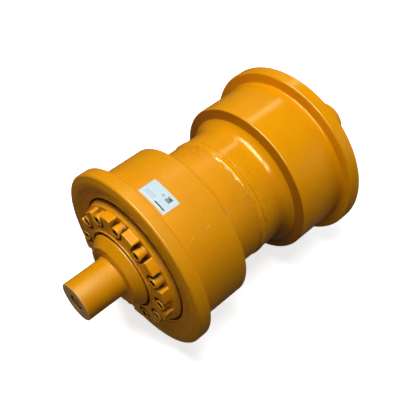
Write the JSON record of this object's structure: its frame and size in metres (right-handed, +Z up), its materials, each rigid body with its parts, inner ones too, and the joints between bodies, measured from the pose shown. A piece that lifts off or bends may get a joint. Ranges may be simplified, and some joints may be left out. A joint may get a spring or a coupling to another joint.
{
  "type": "track roller",
  "caption": "Double-flange track roller on a through shaft: two wide treads, narrow waist, bolted castellated end covers, coned collars and plain shaft stubs.",
  "frame": {"origin": "middle of the roller, on its axis", "axes": "+Y along the roller axis from the oil plug end to the far end, +Z up, +X across"},
  "size_m": [0.4, 0.735, 0.4],
  "materials": {
    "paint": "satin yellow-orange enamel",
    "seal_iron": "lapped",
    "bronze": "machined",
    "rubber": "matt",
    "copper": "soft",
    "label_paper": "coated paper"
  },
  "bodies": {
    "axle": {"shaft": "paint", "oil_plug": "paint", "plug_gasket": "copper", "collar_near": "paint", "collar_oring_near": "rubber", "fixed_seal_near": "seal_iron", "fixed_toric_near": "rubber", "collar_far": "paint", "collar_oring_far": "rubber", "fixed_seal_far": "seal_iron", "fixed_toric_far": "rubber"},
    "roller": {"shell_near": "paint", "shell_far": "paint", "weld_bead": "paint", "label": "label_paper", "end_cover_near": "paint", "cover_screws_near": "paint", "cover_washers_near": "paint", "moving_seal_near": "seal_iron", "bush_near": "bronze", "thrust_washer_near": "bronze", "cover_oring_near": "rubber", "moving_toric_near": "rubber", "end_cover_far": "paint", "cover_screws_far": "paint", "cover_washers_far": "paint", "moving_seal_far": "seal_iron", "bush_far": "bronze", "thrust_washer_far": "bronze", "cover_oring_far": "rubber", "moving_toric_far": "rubber"}
  },
  "joints": [
    {"name": "roller_spin", "type": "hinge", "parent": "axle", "child": "roller", "pos_m": [0, 0, 0], "axis": [0, 1, 0], "continuous": true}
  ]
}
